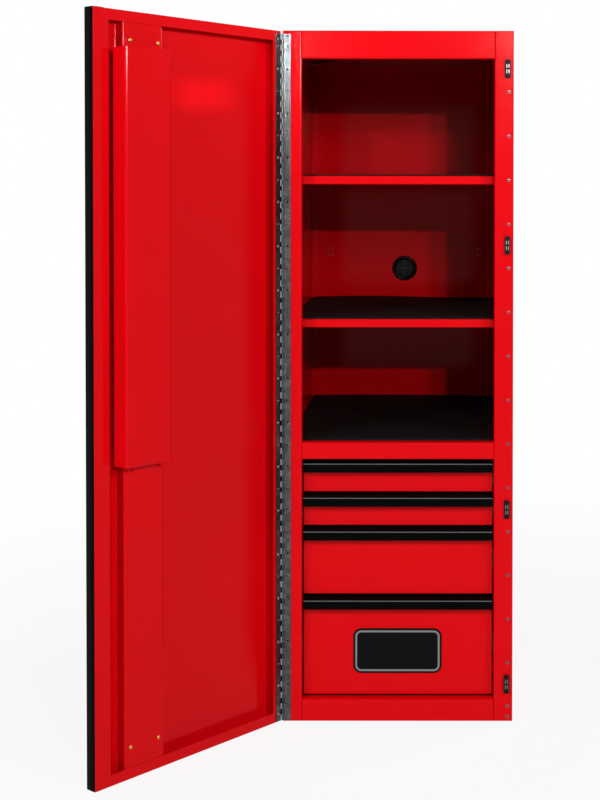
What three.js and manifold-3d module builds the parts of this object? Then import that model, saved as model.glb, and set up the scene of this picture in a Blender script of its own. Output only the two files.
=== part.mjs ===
// Tool chest side locker: a folded sheet steel cabinet with three shelf spaces above four drawers,
// behind one full-height door on a continuous hinge. Millimetres, +Z up, the front faces -Y.
// The origin is the middle of the base, on the floor. The door stands open, as it is stored here.
import * as THREE from "three";
import { mergeVertices } from "three/addons/utils/BufferGeometryUtils.js";
import Module from "manifold-3d";

const wasm = await Module();
wasm.setup();

// Cabinet shell
const WIDTH = 482.6;
const DEPTH = 727;
const HEIGHT = 1448;
const SHEET = 1.5;
const BEND = 3; // outer radius of a fold
const SEAM = 0.25; // gap between pieces that are set against each other
const STILE = 40;
const STILE_LIP = 22;
const REAR_FLANGE = 18;
const TOP_RAIL = 58;
const RAIL_RETURN = 17;
const BASE_RAIL = 46;
const BASE_RETURN = 24;
const DECK_TOP = 587.5;
const DECK_RAIL = 35.5;
const SIDE_FLANGE = 15; // turned-down side edges of the deck

// Shelves and their mats
const SHELF_TOPS = { upper: 1146.5, lower: 843.5 };
const SHELF_LIP = 18;
const SHELF_RETURN = 10;
const SHELF_RECESS = 36;
const MAT = 3;
const MAT_MARGIN = 4;
const DECK_MAT_RECESS = 26;

// Back panel: cable grommet and knock-out slots
const GROMMET_Z = 922;
const GROMMET_HOLE_R = 28;
const GROMMET_FLANGE_R = 32;
const GROMMET_WALL = 5.8;
const GROMMET_CROWN = 4.5;
const MEMBRANE = 1.5;
const SLIT = 0.8;
const SLIT_LEFT = 0.4; // membrane left under a slit, which stays shut until a cable is pushed through
const SLIT_MARGIN = 3;
const SLOT = [1.4, 8];
const SLOT_LEFT = 0.5; // sheet left behind a slot, until it is knocked out
const SLOT_PITCH = [7.5, 14.2];
const SLOT_GROUP_X = 191.5;
const SLOT_GROUP_Z = [1117.5, 964];

// Continuous hinge
const PIN_OFFSET = 3.2; // pin axis to the front plane, and to the door's inner face
const KNUCKLE_R = 2.9;
const LEAF = 1.4;
const LEAF_WIDTH = 17;
const HINGE_PIN_R = 1.2;
const KNUCKLES = 123;
const KNUCKLE_GAP = 0.4;
const NOTCH_GAP = 0.5;
const CURL = THREE.MathUtils.degToRad(290);
const HINGE_FOOT = 3;
const HINGE_HEAD = 7;

// Spare hinge holes and catches on the stiles
const HOLE_R = 2.4;
const HOLE_INSET = 10.5;
const HOLE_TOP = 127;
const HOLE_FOOT = 9;
const HOLE_PITCH = 92.1;
const HOLE_COUNT = 15;
const CATCH_SIZE = [11, 38];
const CATCH_CORNER_R = 2;
const CATCH_INSET = 13;
const CATCH_RISE = [-645, -277, 277, 645]; // from half the height
const CATCH_CLEAR = 0.4;

// Drawers
const DRAWER_RISES = [72, 71.25, 145.75, 214]; // from each drawer's top to the next one's
const DRAWER_GAP = 5;
const DRAWER_RECESS = 24;
const DRAWER_LENGTH = 660;
const FACE_MARGIN = 2.3;
const FACE_HEM = 5;
const FACE_DEPTH = 7.8; // from the front's skin to the inside of the box's front wall
const BOX_LIFT = 5;
const BOX_DROP = 9;
const PULL_MARGIN = 2.8;
const PULL_REACH = 22;
const PULL_DROP = 5.7;
const PULL_HEIGHT = 23.4;
const PULL_WALL = 2.2;
const PULL_BACK = 20;
const PULL_LAND = 4;
const PULL_CAP = 6; // behind the front's face

// Telescopic slides
const MEMBER = 1.5;
const MEMBER_BEND = 2;
const SLIDE_DEPTH = 12;
const SLIDE_LENGTH = 620;
const SLIDE_START_GAP = 20;
const SLIDE_WALL_GAP = 12;
const SLIDE_RUN_GAP = 0.5; // between the webs of two members
const CABINET_MEMBER = 45;
const MIDDLE_MEMBER = 39.5;
const DRAWER_MEMBER = 34;
const TIP_GAP = 0.6;

// Door
const DOOR_OPEN = THREE.MathUtils.degToRad(129);
const DOOR_DEPTH = 27;
const DOOR_GAP = 1.5;
const FREE_FLANGE = 35;
const HINGE_FLANGE = 23.3;
const END_FLANGE = 21;
const EDGE_PULL_WIDTH = 25;
const EDGE_PULL_WALL = 2.5;
const EDGE_PULL_LIP = 6;
const EDGE_PULL_OVERRUN = 1;
const EDGE_RIDGE = 1;
const EDGE_RIDGE_SHARE = 0.4;
const STIFFENER_WIDTH = 95;
const STIFFENER_FROM_EDGE = 69.5;
const STIFFENER_FLANGE = 14;
const COVER_WIDTH = 108;
const COVER_FROM_EDGE = 45.6;
const COVER_RISE = 37; // above the door's inner face
const COVER_BEND = 5;
const COVER_TOP = 72; // below the cabinet's top
const COVER_LENGTH = 778;
const TAB_WIDTH = 84;
const TAB_LENGTH = 26;

// Key lock behind the cover
const LOCK_FLANGE_R = 13;
const LOCK_FLANGE = 3;
const BARREL_R = 9;
const PLUG_R = 5.7;
const CRANK = 16;
const CAM_RIM = 4;
const CAM = 3;
const CRANK_PIN_R = 2;
const CRANK_PIN = 9;
const ROD = [12, 3];
const ROD_CLEAR = 1.8; // behind the top rail's return
const PIN_PLAY = 0.8;
const FOOT_RIM = 4;
const KEY_SLOT = [2, 8, 5];

// Places worked out from the sizes above
const half = WIDTH / 2;
const front = -DEPTH / 2;
const back = DEPTH / 2;
const innerHalf = half - SHEET;
const openHalf = half - STILE;
const panelFoot = SHEET + SEAM;
const panelHead = HEIGHT - SHEET - SEAM;
const backFace = back - 2 * SHEET - SEAM;
const behindLip = front + STILE_LIP + SEAM;
const overlap = SHEET; // shared length where two stretches of one sheet are joined

const RED_PAINT = { color: 0xd20a10, roughness: 0.28, metalness: 0.1 };
const BLACK_ANODISED = { color: 0x141416, roughness: 0.4, metalness: 0.6 };
const ZINC = { color: 0x8f9294, roughness: 0.45, metalness: 0.9 };
const BLACK_RUBBER = { color: 0x18191b, roughness: 0.85, metalness: 0 };
const BLACK_PLASTIC = { color: 0x0d0d0e, roughness: 0.5, metalness: 0 };
const CHROME = { color: 0xc8cacc, roughness: 0.15, metalness: 1 };

const locker = new THREE.Group();

function addPiece(group, name, geometry, finish, mirrored = false) {
  const mesh = new THREE.Mesh(geometry, new THREE.MeshStandardMaterial(finish));
  mesh.name = name;
  if (mirrored) mesh.scale.x = -1;
  group.add(mesh);
}

// Solids are joined and cut as closed meshes of merged vertices.
function solidOf(geometry) {
  const bare = new THREE.BufferGeometry();
  bare.setAttribute("position", geometry.getAttribute("position"));
  bare.setIndex(geometry.getIndex());
  const merged = mergeVertices(bare, 1e-4);
  return new wasm.Manifold(
    new wasm.Mesh({
      numProp: 3,
      vertProperties: new Float32Array(merged.getAttribute("position").array),
      triVerts: new Uint32Array(merged.getIndex().array),
    }),
  );
}

function geometryOf(solid) {
  const mesh = solid.getMesh();
  const geometry = new THREE.BufferGeometry();
  geometry.setAttribute("position", new THREE.BufferAttribute(mesh.vertProperties, 3));
  geometry.setIndex(new THREE.BufferAttribute(mesh.triVerts, 1));
  const flat = geometry.toNonIndexed();
  flat.computeVertexNormals();
  return flat;
}

function join(...geometries) {
  return geometryOf(geometries.map(solidOf).reduce((sum, next) => sum.add(next)));
}

function cut(geometry, ...tools) {
  return geometryOf(tools.map(solidOf).reduce((rest, tool) => rest.subtract(tool), solidOf(geometry)));
}

function block([x0, x1], [y0, y1], [z0, z1]) {
  const geometry = new THREE.BoxGeometry(2, 2, 2);
  const corner = geometry.getAttribute("position");
  for (let i = 0; i < corner.count; i += 1) {
    const [x, y, z] = [corner.getX(i), corner.getY(i), corner.getZ(i)];
    corner.setXYZ(i, x < 0 ? x0 : x1, y < 0 ? y0 : y1, z < 0 ? z0 : z1);
  }
  return geometry;
}

// A round bar along Y, used for holes and pins.
function barAlongY(radius, [x, z], [y0, y1], sides = 8) {
  const geometry = new THREE.CylinderGeometry(radius, radius, y1 - y0, sides);
  return geometry.translate(x, (y0 + y1) / 2, z);
}

// Extrudes an outline along X (outline in Y, Z), along Y (outline in Z, X) or along Z (outline in X, Y).
function extrude(outline, axis, [from, to], curveSegments = 2) {
  const options = { depth: to - from, bevelEnabled: false, curveSegments };
  const geometry = new THREE.ExtrudeGeometry(outline, options).translate(0, 0, from);
  const [x, y, z] = [[1, 0, 0], [0, 1, 0], [0, 0, 1]].map((v) => new THREE.Vector3(...v));
  if (axis === "x") geometry.applyMatrix4(new THREE.Matrix4().makeBasis(y, z, x));
  if (axis === "y") geometry.applyMatrix4(new THREE.Matrix4().makeBasis(z, x, y));
  return geometry;
}

// Cross-section of a folded sheet. One face runs through the corners, the wall lies on its left,
// and each corner becomes a fold of the given outer radius.
function foldedSheet(corners, wall = SHEET, bend = BEND) {
  const line = corners.map(([u, v]) => new THREE.Vector2(u, v));
  const runs = line.slice(1).map((point, i) => point.clone().sub(line[i]).normalize());
  const leftOf = (run) => new THREE.Vector2(-run.y, run.x);
  const folds = runs.slice(1).map((run, i) => {
    const turn = Math.atan2(runs[i].cross(run), runs[i].dot(run));
    const side = Math.sign(turn);
    const near = side > 0 ? bend : bend - wall;
    const start = line[i + 1].clone().addScaledVector(runs[i], -near * Math.tan(Math.abs(turn) / 2));
    const centre = start.clone().addScaledVector(leftOf(runs[i]), side * near);
    const from = start.clone().sub(centre).angle();
    return { centre, near, far: near - side * wall, from, to: from + turn, clockwise: side < 0 };
  });
  const outline = new THREE.Shape();
  const lineTo = ({ x, y }) => outline.lineTo(x, y);
  const fold = ({ centre }, radius, from, to, clockwise) => {
    const start = new THREE.Vector2(Math.cos(from), Math.sin(from)).multiplyScalar(radius).add(centre);
    lineTo(start);
    outline.absarc(centre.x, centre.y, radius, from, to, clockwise);
  };
  outline.moveTo(line[0].x, line[0].y);
  folds.forEach((f) => fold(f, f.near, f.from, f.to, f.clockwise));
  lineTo(line.at(-1));
  lineTo(line.at(-1).clone().addScaledVector(leftOf(runs.at(-1)), wall));
  folds.toReversed().forEach((f) => fold(f, f.far, f.to, f.from, !f.clockwise));
  lineTo(line[0].clone().addScaledVector(leftOf(runs[0]), wall));
  return outline;
}

// Rectangle with rounded corners, between two opposite corners.
function roundedRectangle([u0, u1], [v0, v1], radius) {
  const outline = new THREE.Shape();
  outline.moveTo(u0 + radius, v0);
  outline.lineTo(u1 - radius, v0);
  outline.absarc(u1 - radius, v0 + radius, radius, -Math.PI / 2, 0);
  outline.lineTo(u1, v1 - radius);
  outline.absarc(u1 - radius, v1 - radius, radius, 0, Math.PI / 2);
  outline.lineTo(u0 + radius, v1);
  outline.absarc(u0 + radius, v1 - radius, radius, Math.PI / 2, Math.PI);
  outline.lineTo(u0, v0 + radius);
  outline.absarc(u0 + radius, v0 + radius, radius, Math.PI, 1.5 * Math.PI);
  return outline;
}

// Side panels: one sheet folded into the stile and its lip at the front and a flange at the back.
// The door can be hung on either side, so the right stile has the hinge's screw holes too. On the
// left the screws fill those, and the holes that the leaf leaves open go on through the stile.
const screwTop = HEIGHT - HOLE_TOP;
const spareTop = screwTop + HOLE_PITCH / 2;

function sidePanel(topHole) {
  const section = foldedSheet([
    [openHalf, front + STILE_LIP],
    [openHalf, front],
    [half, front],
    [half, back],
    [half - REAR_FLANGE, back],
  ]);
  const holes = Array.from({ length: HOLE_COUNT }, (_, i) => topHole - i * HOLE_PITCH);
  const drills = [...holes, HOLE_FOOT].map((z) =>
    barAlongY(HOLE_R, [half - HOLE_INSET, z], [front - SHEET, front + 2 * SHEET], 6),
  );
  return cut(extrude(section, "z", [panelFoot, panelHead]), ...drills);
}
addPiece(locker, "left_side_panel", sidePanel(spareTop), RED_PAINT, true);
addPiece(locker, "right_side_panel", sidePanel(screwTop), RED_PAINT);

// Back panel: a flat sheet behind the shelves, in front of the side panels' rear flanges.
const backSpan = [backFace, backFace + SHEET];
const slots = [-1, 1].flatMap((side) =>
  SLOT_GROUP_Z.flatMap((z) =>
    [-0.5, 0.5].flatMap((column) =>
      [-0.5, 0.5].map((row) => {
        const x = side * SLOT_GROUP_X + column * SLOT_PITCH[0];
        const middle = z + row * SLOT_PITCH[1];
        return block(
          [x - SLOT[0] / 2, x + SLOT[0] / 2],
          [backFace - SHEET, backFace + SHEET - SLOT_LEFT],
          [middle - SLOT[1] / 2, middle + SLOT[1] / 2],
        );
      }),
    ),
  ),
);
const grommetHole = barAlongY(GROMMET_HOLE_R, [0, GROMMET_Z], [backFace - SHEET, backFace + 2 * SHEET], 24);
const backHalf = half - BEND - SEAM; // clear of the rear folds
const backSheet = block([-backHalf, backHalf], backSpan, [panelFoot, panelHead]);
addPiece(locker, "back_panel", cut(backSheet, grommetHole, ...slots), RED_PAINT);

// Cable grommet: a moulded ring with a rounded crown, snapped into the back panel. A cross-slit
// membrane closes it.
const grommetSeat = backFace - SEAM;
const grommetR = GROMMET_HOLE_R - SEAM;
const grommetBore = grommetR - GROMMET_WALL;
const grommetCrown = new THREE.EllipseCurve(
  (grommetBore + GROMMET_FLANGE_R) / 2,
  grommetSeat,
  (GROMMET_FLANGE_R - grommetBore) / 2,
  GROMMET_CROWN,
  Math.PI,
  2 * Math.PI,
);
const grommetSection = [
  new THREE.Vector2(0, grommetSeat),
  ...grommetCrown.getPoints(6),
  new THREE.Vector2(grommetR, grommetSeat),
  new THREE.Vector2(grommetR, backFace + SHEET + SEAM),
  new THREE.Vector2(grommetBore, backFace + SHEET + SEAM),
  new THREE.Vector2(grommetBore, grommetSeat + MEMBRANE),
  new THREE.Vector2(0, grommetSeat + MEMBRANE),
];
const slitReach = grommetBore - SLIT_MARGIN;
const slitDepth = [grommetSeat - MEMBRANE, grommetSeat + MEMBRANE - SLIT_LEFT];
addPiece(
  locker,
  "cable_grommet",
  cut(
    new THREE.LatheGeometry(grommetSection, 24).translate(0, 0, GROMMET_Z),
    block([-slitReach, slitReach], slitDepth, [GROMMET_Z - SLIT / 2, GROMMET_Z + SLIT / 2]),
    block([-SLIT / 2, SLIT / 2], slitDepth, [GROMMET_Z - slitReach, GROMMET_Z + slitReach]),
  ),
  BLACK_RUBBER,
);

// Top, deck and base: plates whose front edge is folded into a rail between the stiles. The top and
// the base are also folded behind the back panel, between the side panels' flanges.
const rearSpan = [REAR_FLANGE + SEAM - half, half - REAR_FLANGE - SEAM];
const railSpan = [SEAM - openHalf, openHalf - SEAM];
const plateSpan = [SEAM - innerHalf, innerHalf - SEAM];

function downturnedRail(top, rail, end) {
  const section = foldedSheet([
    [end, top],
    [front, top],
    [front, top - rail],
    [front + RAIL_RETURN, top - rail],
  ]);
  return extrude(section, "x", railSpan);
}

addPiece(
  locker,
  "top_panel",
  join(
    block([-half, half], [front, back], [HEIGHT - SHEET, HEIGHT]),
    block(rearSpan, [back - SHEET, back], [HEIGHT - REAR_FLANGE, HEIGHT]),
    downturnedRail(HEIGHT, TOP_RAIL, front + RAIL_RETURN + BEND),
  ),
  RED_PAINT,
);

const deckEdge = [innerHalf - SEAM - SHEET, innerHalf - SEAM];
addPiece(
  locker,
  "deck_panel",
  join(
    block(plateSpan, [behindLip, backFace - SEAM], [DECK_TOP - SHEET, DECK_TOP]),
    downturnedRail(DECK_TOP, DECK_RAIL, behindLip + overlap),
    block(deckEdge, [behindLip, backFace - SEAM], [DECK_TOP - SIDE_FLANGE, DECK_TOP]),
    block(deckEdge.map((x) => -x).toReversed(), [behindLip, backFace - SEAM], [DECK_TOP - SIDE_FLANGE, DECK_TOP]),
  ),
  RED_PAINT,
);

const baseRail = foldedSheet([
  [front + BASE_RETURN, BASE_RAIL],
  [front, BASE_RAIL],
  [front, 0],
  [front + BASE_RETURN, 0],
]);
addPiece(
  locker,
  "base_panel",
  join(
    block([-half, half], [front, back], [0, SHEET]),
    block(rearSpan, [back - SHEET, back], [0, REAR_FLANGE]),
    extrude(baseRail, "x", railSpan),
  ),
  RED_PAINT,
);

// Shelves: pans with the front edge folded down and under, and flanges at the sides and back.
// Each carries a loose soft mat, as the deck does.
const shelfFront = front + SHELF_RECESS;
const shelfBack = backFace - SEAM;

function shelf(top) {
  const section = foldedSheet([
    [shelfBack - SHEET / 2, top],
    [shelfFront, top],
    [shelfFront, top - SHELF_LIP],
    [shelfFront + SHELF_RETURN, top - SHELF_LIP],
  ]);
  const flange = [top - SHELF_LIP, top];
  const sideRun = [shelfFront + SHELF_RETURN - overlap, shelfBack];
  return join(
    extrude(section, "x", plateSpan),
    block(plateSpan, [shelfBack - SHEET, shelfBack], flange),
    block([plateSpan[0], plateSpan[0] + SHEET], sideRun, flange),
    block([plateSpan[1] - SHEET, plateSpan[1]], sideRun, flange),
  );
}

function mat(surface, from) {
  return block(
    [plateSpan[0] + MAT_MARGIN, plateSpan[1] - MAT_MARGIN],
    [from, shelfBack - MAT_MARGIN],
    [surface + SEAM, surface + SEAM + MAT],
  );
}

for (const [place, top] of Object.entries(SHELF_TOPS)) {
  addPiece(locker, `${place}_shelf`, shelf(top), RED_PAINT);
  addPiece(locker, `${place}_shelf_mat`, mat(top, shelfFront + BEND), BLACK_RUBBER);
}
addPiece(locker, "deck_mat", mat(DECK_TOP, front + DECK_MAT_RECESS), BLACK_RUBBER);

// Magnetic catches on the right stile, just clear of the closed door's flange.
const catchX = half - CATCH_INSET;
const catchTop = front - 2 * PIN_OFFSET + CATCH_CLEAR;
CATCH_RISE.forEach((rise, i) => {
  const z = HEIGHT / 2 + rise;
  const [width, length] = CATCH_SIZE;
  const outline = roundedRectangle(
    [z - length / 2, z + length / 2],
    [catchX - width / 2, catchX + width / 2],
    CATCH_CORNER_R,
  );
  addPiece(locker, `catch_${i + 1}`, extrude(outline, "y", [catchTop, front - SEAM], 1), BLACK_PLASTIC);
});

// Continuous hinge: two leaves whose front edges are rolled into knuckles that take turns on one pin.
const hingeSpan = [HINGE_FOOT, HEIGHT - HINGE_HEAD];
const knucklePitch = (hingeSpan[1] - hingeSpan[0]) / KNUCKLES;

// Side +1 puts the leaf on +Y of the pin, side -1 on -Y. First is the first knuckle that it leaves out,
// and openHoles the heights of the holes that take no screw.
function hingeLeaf(side, first, openHoles) {
  const curlEnd = side * (Math.PI / 2 + CURL);
  const bore = KNUCKLE_R - LEAF;
  const section = new THREE.Shape();
  section.moveTo(LEAF_WIDTH, side * KNUCKLE_R);
  section.lineTo(0, side * KNUCKLE_R);
  section.absarc(0, 0, KNUCKLE_R, (side * Math.PI) / 2, curlEnd, side < 0);
  section.absarc(0, 0, bore, curlEnd, (side * Math.PI) / 2, side > 0);
  section.lineTo(LEAF_WIDTH, side * bore);
  const reach = KNUCKLE_R + NOTCH_GAP;
  const notches = [];
  for (let i = first; i < KNUCKLES; i += 2) {
    const foot = hingeSpan[0] + i * knucklePitch - KNUCKLE_GAP / 2;
    const head = foot + knucklePitch + KNUCKLE_GAP;
    notches.push(block([-reach, reach], [-reach, reach], [foot, head]));
  }
  const drills = openHoles.map((z) => barAlongY(HOLE_R, [HOLE_INSET, z], [-reach, reach], 6));
  return cut(extrude(section, "z", hingeSpan, 3), ...notches, ...drills);
}
const spareHoles = Array.from({ length: HOLE_COUNT }, (_, i) => spareTop - i * HOLE_PITCH);
const pinX = -half;
const pinY = front - PIN_OFFSET;
addPiece(locker, "hinge_cabinet_leaf", hingeLeaf(1, 1, spareHoles).translate(pinX, pinY, 0), ZINC);
const pinLength = hingeSpan[1] - hingeSpan[0];
const hingePin = new THREE.CylinderGeometry(HINGE_PIN_R, HINGE_PIN_R, pinLength, 8).rotateX(Math.PI / 2);
addPiece(locker, "hinge_pin", hingePin.translate(pinX, pinY, (hingeSpan[0] + hingeSpan[1]) / 2), ZINC);

// Slide walls: panels that stand off the side panels and carry the slides just behind the stiles' lips.
const slideWallFace = openHalf + SHEET;
const slideWallEnd = backFace - SEAM - SLIDE_WALL_GAP;
const slideWall = foldedSheet([
  [innerHalf - SEAM, slideWallEnd],
  [slideWallFace, slideWallEnd],
  [slideWallFace, behindLip],
  [innerHalf - SEAM, behindLip],
]);
const slideWallSpan = [panelFoot, DECK_TOP - SIDE_FLANGE - SEAM];
addPiece(locker, "left_slide_wall", extrude(slideWall, "z", slideWallSpan), RED_PAINT, true);
addPiece(locker, "right_slide_wall", extrude(slideWall, "z", slideWallSpan), RED_PAINT);

// Each slide has three nested channels: one on the slide wall, one between, and one on the drawer.
const slideStart = front + DRAWER_RECESS + SHEET + SLIDE_START_GAP;
const slideRun = [slideStart, slideStart + SLIDE_LENGTH];
const cabinetWeb = slideWallFace - SEAM;
const middleWeb = cabinetWeb - MEMBER - SLIDE_RUN_GAP;
const drawerWeb = cabinetWeb - SLIDE_DEPTH;
const drawerHalf = drawerWeb - SEAM;

function channel(z, height, web, tip) {
  const [low, high] = [z - height / 2, z + height / 2];
  const corners = web > tip
    ? [[high, tip], [high, web], [low, web], [low, tip]]
    : [[low, tip], [low, web], [high, web], [high, tip]];
  return extrude(foldedSheet(corners, MEMBER, MEMBER_BEND), "y", slideRun, 1);
}

// Drawer pull: an extrusion that caps the front's folded top. It falls to a ridge, and its lip hangs
// over a finger channel.
function pullSection(seat, top) {
  const lip = seat - PULL_REACH;
  const section = new THREE.Shape();
  section.moveTo(seat + PULL_CAP, top);
  section.lineTo(seat - PULL_LAND, top);
  section.quadraticCurveTo(lip + PULL_LAND, top, lip, top - PULL_DROP);
  section.lineTo(lip, top - PULL_HEIGHT);
  section.lineTo(lip + PULL_WALL, top - PULL_HEIGHT);
  section.lineTo(lip + PULL_WALL, top - PULL_DROP - PULL_WALL / 2);
  section.quadraticCurveTo(lip + PULL_LAND + PULL_WALL, top - PULL_WALL, seat - PULL_LAND, top - PULL_WALL);
  section.lineTo(seat - PULL_WALL, top - PULL_WALL);
  section.lineTo(seat - PULL_WALL, top - PULL_BACK);
  section.lineTo(seat, top - PULL_BACK);
  section.lineTo(seat, top - PULL_WALL);
  section.lineTo(seat + PULL_CAP, top - PULL_WALL);
  return section;
}

// Drawers: an open folded box behind a painted front, with its pull and its two slides. The box's own
// front wall stands a little behind the front's skin, between the box's sides.
const faceFront = front + DRAWER_RECESS;
const faceSpan = [FACE_MARGIN - openHalf, openHalf - FACE_MARGIN];
const boxSpan = [-drawerHalf, drawerHalf];

function drawerBox(bottom, top) {
  const face = [faceFront, faceFront + SHEET];
  const fold = [faceFront, faceFront + FACE_HEM];
  const run = [faceFront + SHEET / 2, faceFront + DRAWER_LENGTH];
  const rise = [bottom + BOX_LIFT, top - BOX_DROP];
  const faceTop = top - PULL_WALL - SEAM;
  const inner = faceFront + FACE_DEPTH;
  const across = [boxSpan[0] + SHEET, boxSpan[1] - SHEET];
  const above = [rise[0] + SHEET, rise[1] + SHEET];
  const hollow = cut(
    block(boxSpan, run, rise),
    block(across, [inner, run[1] - SHEET], above),
    block(across, [face[1], inner - SHEET], above),
  );
  return join(
    hollow,
    block(faceSpan, face, [bottom, faceTop]),
    block(boxSpan, fold, [faceTop - SHEET, faceTop]),
    block(boxSpan, fold, [bottom, bottom + SHEET]),
  );
}

let drawerTop = DECK_TOP - DECK_RAIL - DRAWER_GAP;
DRAWER_RISES.forEach((rise, i) => {
  const name = `drawer_${i + 1}`;
  const bottom = drawerTop - rise + DRAWER_GAP;
  const slideZ = (bottom + BOX_LIFT + drawerTop - BOX_DROP) / 2;
  addPiece(locker, `${name}_box`, drawerBox(bottom, drawerTop), RED_PAINT);
  const pull = extrude(
    pullSection(faceFront - SEAM, drawerTop),
    "x",
    [PULL_MARGIN - openHalf, openHalf - PULL_MARGIN],
    3,
  );
  addPiece(locker, `${name}_pull`, pull, BLACK_ANODISED);
  for (const side of ["left", "right"]) {
    const mirrored = side === "left";
    const cabinet = channel(slideZ, CABINET_MEMBER, cabinetWeb, drawerWeb + TIP_GAP);
    const middle = channel(slideZ, MIDDLE_MEMBER, middleWeb, drawerWeb + MEMBER + TIP_GAP);
    const inner = channel(slideZ, DRAWER_MEMBER, drawerWeb, middleWeb - MEMBER - TIP_GAP);
    addPiece(locker, `${name}_${side}_cabinet_slide`, cabinet, ZINC, mirrored);
    addPiece(locker, `${name}_${side}_middle_slide`, middle, ZINC, mirrored);
    addPiece(locker, `${name}_${side}_drawer_slide`, inner, ZINC, mirrored);
  }
  drawerTop = bottom - DRAWER_GAP;
});

// Door: made as it lies when shut, X from the hinge pin to the free edge, Y into the cabinet,
// then swung open about the pin.
const door = new THREE.Group();
door.position.set(pinX, pinY, 0);
door.rotation.z = -DOOR_OPEN;
locker.add(door);

const innerFace = -PIN_OFFSET;
const outerFace = innerFace - DOOR_DEPTH;
const panEdge = WIDTH - EDGE_PULL_WIDTH;
const doorSpan = [DOOR_GAP, HEIGHT - DOOR_GAP];
const lockX = WIDTH - STIFFENER_FROM_EDGE - STIFFENER_WIDTH / 2;
const coverHead = HEIGHT - COVER_TOP;
const coverFoot = coverHead - COVER_LENGTH;
const lockZ = (coverHead + coverFoot) / 2;
const rodFace = RAIL_RETURN + PIN_OFFSET + ROD_CLEAR;
const barrelHole = barAlongY(BARREL_R + SEAM, [lockX, lockZ], [outerFace - SHEET, rodFace], 16);

// Door pan: a skin with folded walls and return flanges. The free flange runs on past the wall
// to the door's edge, where it backs the pull.
const panOutline = roundedRectangle([0, panEdge], [outerFace, innerFace], BEND);
const panBody = cut(
  extrude(panOutline, "z", doorSpan),
  block([SHEET, panEdge - SHEET], [outerFace + SHEET, innerFace - SHEET], [doorSpan[0] + SHEET, doorSpan[1] - SHEET]),
);
const window = block(
  [HINGE_FLANGE, WIDTH - FREE_FLANGE],
  [innerFace - 2 * SHEET, innerFace + SHEET],
  [doorSpan[0] + END_FLANGE, doorSpan[1] - END_FLANGE],
);
const freeFlange = block([panEdge - BEND - overlap, WIDTH], [innerFace - SHEET, innerFace], doorSpan);
addPiece(door, "door_pan", cut(join(panBody, freeFlange), window, barrelHole), RED_PAINT);

// Pull along the free edge: a channel open to the front, whose lip the fingers hook behind.
const pullRoot = panEdge + SEAM;
const pullSeat = innerFace - SHEET - SEAM;
const pullFloor = pullSeat - EDGE_PULL_WALL;
const pullWall = WIDTH - EDGE_PULL_WALL - EDGE_RIDGE;
const edgePull = new THREE.Shape(
  [
    [pullRoot, pullSeat],
    [pullRoot, outerFace],
    [pullRoot + EDGE_PULL_WALL, outerFace],
    [pullRoot + EDGE_PULL_WALL, pullFloor],
    [pullWall, pullFloor],
    [pullWall, outerFace + EDGE_PULL_WALL],
    [pullWall - EDGE_PULL_LIP, outerFace + EDGE_PULL_WALL],
    [pullWall - EDGE_PULL_LIP, outerFace],
    [WIDTH - EDGE_RIDGE, outerFace],
    [WIDTH, THREE.MathUtils.lerp(pullSeat, outerFace, EDGE_RIDGE_SHARE)],
    [WIDTH - EDGE_RIDGE, pullSeat],
  ].map(([x, y]) => new THREE.Vector2(x, y)),
);
const edgePullSpan = [doorSpan[0] - EDGE_PULL_OVERRUN, doorSpan[1] + EDGE_PULL_OVERRUN];
addPiece(door, "door_edge_pull", extrude(edgePull, "z", edgePullSpan), BLACK_ANODISED);

// Stiffener: a hat section on the skin, its face just under the plane of the flanges.
const skinSeat = outerFace + SHEET + SEAM + SHEET;
const stiffenerFace = innerFace - SHEET - SEAM;
const stiffenerSpan = [WIDTH - STIFFENER_FROM_EDGE - STIFFENER_WIDTH, WIDTH - STIFFENER_FROM_EDGE];
const hat = foldedSheet([
  [stiffenerSpan[1] + STIFFENER_FLANGE, skinSeat],
  [stiffenerSpan[1], skinSeat],
  [stiffenerSpan[1], stiffenerFace],
  [stiffenerSpan[0], stiffenerFace],
  [stiffenerSpan[0], skinSeat],
  [stiffenerSpan[0] - STIFFENER_FLANGE, skinSeat],
]);
const stiffener = extrude(hat, "z", [doorSpan[0] + SHEET + SEAM, doorSpan[1] - SHEET - SEAM]);
addPiece(door, "door_stiffener", cut(stiffener, barrelHole), RED_PAINT);

// Lock cover: a folded box over the lock works, open towards the skin, with a screwed tab at each end.
const coverSeat = stiffenerFace + SEAM;
const coverFace = innerFace + COVER_RISE;
const coverSpan = [WIDTH - COVER_FROM_EDGE - COVER_WIDTH, WIDTH - COVER_FROM_EDGE];

function coverOutline(inset, foot) {
  const [left, right] = [coverSpan[0] + inset, coverSpan[1] - inset];
  const [top, radius] = [coverFace - inset, COVER_BEND - inset];
  const outline = new THREE.Shape();
  outline.moveTo(left, foot);
  outline.lineTo(right, foot);
  outline.lineTo(right, top - radius);
  outline.absarc(right - radius, top - radius, radius, 0, Math.PI / 2);
  outline.lineTo(left + radius, top);
  outline.absarc(left + radius, top - radius, radius, Math.PI / 2, Math.PI);
  return outline;
}

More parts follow.
